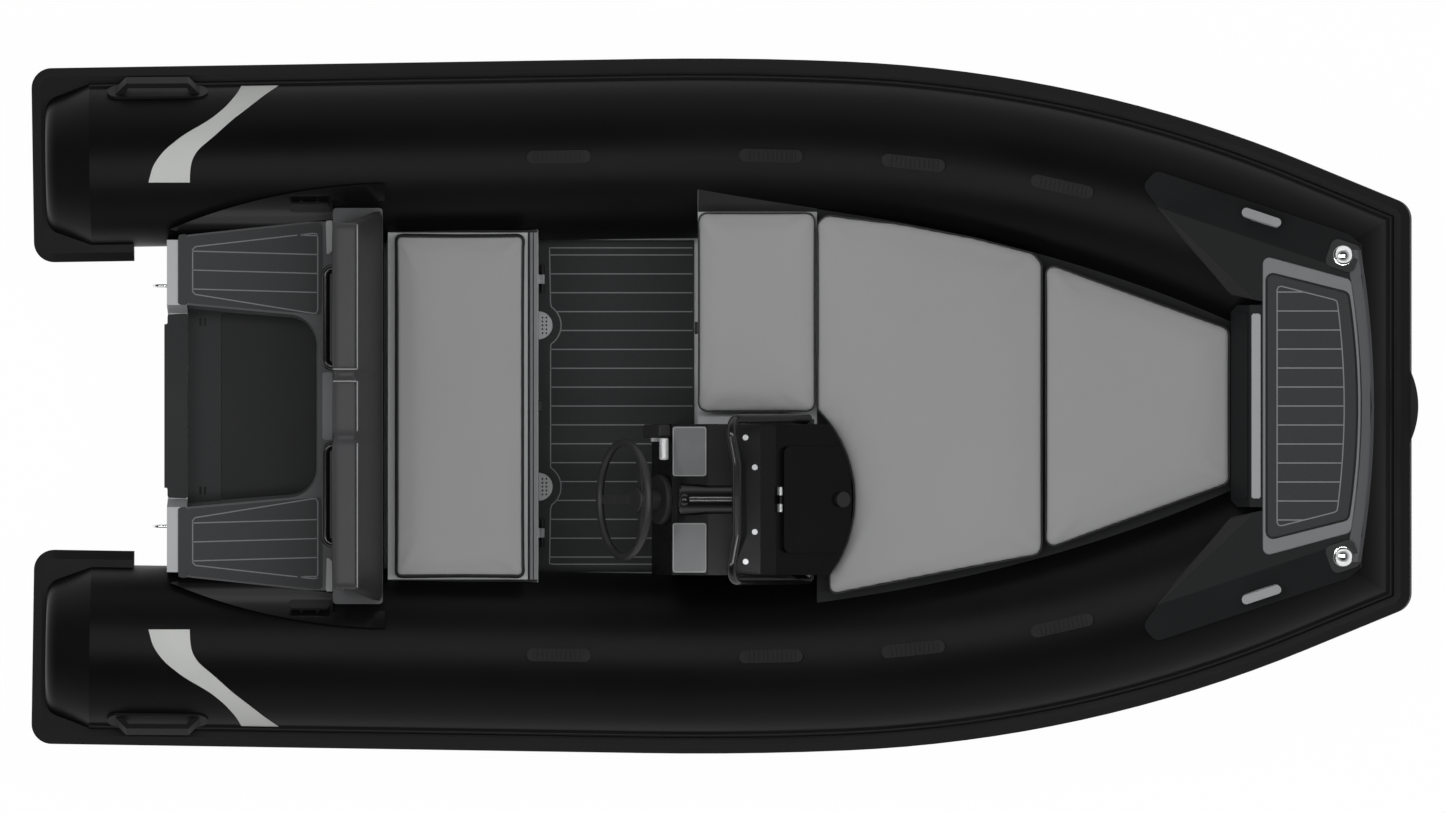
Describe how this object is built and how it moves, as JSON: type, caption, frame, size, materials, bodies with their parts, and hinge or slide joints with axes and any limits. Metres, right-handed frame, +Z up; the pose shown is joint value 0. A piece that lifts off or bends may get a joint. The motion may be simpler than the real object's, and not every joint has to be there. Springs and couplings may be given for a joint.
{
  "type": "rigid inflatable sport boat",
  "caption": "Small rigid inflatable boat with black tubes, a helm console offset to starboard, a bench, sunbathing cushions and a bow step.",
  "frame": {"origin": "on the waterline, in the middle plane, midway along the boat", "axes": "+X to the bow, +Y to port, +Z up"},
  "size_m": [3.925, 1.969, 1.2735],
  "materials": {
    "hull_gelcoat": "polished gelcoat",
    "light_gelcoat": "satin gelcoat",
    "dark_gelcoat": "satin gelcoat",
    "gloss_black": "gloss black",
    "black_plastic": "matt black",
    "black_rubber": "moulded rubber",
    "wheel_rubber": "soft grip",
    "tube_fabric": "coated fabric",
    "deck_foam": "brushed foam",
    "grey_vinyl": "soft vinyl",
    "dark_vinyl": "soft vinyl",
    "polished_steel": "polished",
    "brushed_steel": "brushed",
    "dash_gloss": "reflective",
    "tinted_screen": "smoked acrylic"
  },
  "bodies": {
    "boat": {"aft_deck": "light_gelcoat", "aft_mats": "deck_foam", "backrest": "dark_vinyl", "backrest_plinth": "light_gelcoat", "backrest_rails": "gloss_black", "bench_cushion": "grey_vinyl", "bench_hinges": "polished_steel", "bench_locker": "light_gelcoat", "bow_cushion": "grey_vinyl", "bow_handle": "black_rubber", "bow_lamps": "polished_steel", "bow_locker": "light_gelcoat", "bow_platform": "light_gelcoat", "bow_riser": "dark_gelcoat", "bow_step": "dark_gelcoat", "bow_step_mat": "deck_foam", "carry_handle_port": "black_rubber", "carry_handle_starboard": "black_rubber", "cleats": "black_plastic", "console": "dark_gelcoat", "dash_panels": "dash_gloss", "fairings": "gloss_black", "floor_deck": "light_gelcoat", "floor_drains": "brushed_steel", "floor_mat": "deck_foam", "hatch_hinge": "polished_steel", "helm": "black_plastic", "hull": "hull_gelcoat", "keel_guard": "black_rubber", "riser_panel": "light_gelcoat", "rub_strake_bow": "black_rubber", "rub_strake_port": "black_rubber", "rub_strake_starboard": "black_rubber", "side_latch": "black_plastic", "side_locker": "light_gelcoat", "side_seat": "grey_vinyl", "stern_cones": "tube_fabric", "sundeck_cushion": "grey_vinyl", "throttle": "black_plastic", "throttle_lever": "polished_steel", "towing_eyes": "polished_steel", "transom": "light_gelcoat", "transom_pad": "black_plastic", "tube_bow": "tube_fabric", "tube_handles": "black_rubber", "tube_port": "tube_fabric", "tube_starboard": "tube_fabric", "windshield": "tinted_screen", "windshield_rail": "gloss_black", "windshield_studs": "polished_steel"},
    "wheel": {"steering_wheel": "wheel_rubber"},
    "hatch": {"console_hatch": "dark_gelcoat", "hatch_knob": "black_plastic"},
    "door": {"bench_door": "light_gelcoat", "bench_latch": "black_plastic"}
  },
  "joints": [
    {"name": "steering_turn", "type": "hinge", "parent": "boat", "child": "wheel", "pos_m": [-0.28418, -0.264, 0.7102], "axis": [-0.9033, 0, 0.4291], "range_deg": [-540, 540]},
    {"name": "console_hatch_hinge", "type": "hinge", "parent": "boat", "child": "hatch", "pos_m": [0.1563, -0.264, 0.72743], "axis": [0, -1, 0], "range_deg": [0, 80]},
    {"name": "bench_door_hinge", "type": "hinge", "parent": "boat", "child": "door", "pos_m": [-0.518, 0, 0.099], "axis": [0, 1, 0], "range_deg": [0, 90]}
  ]
}
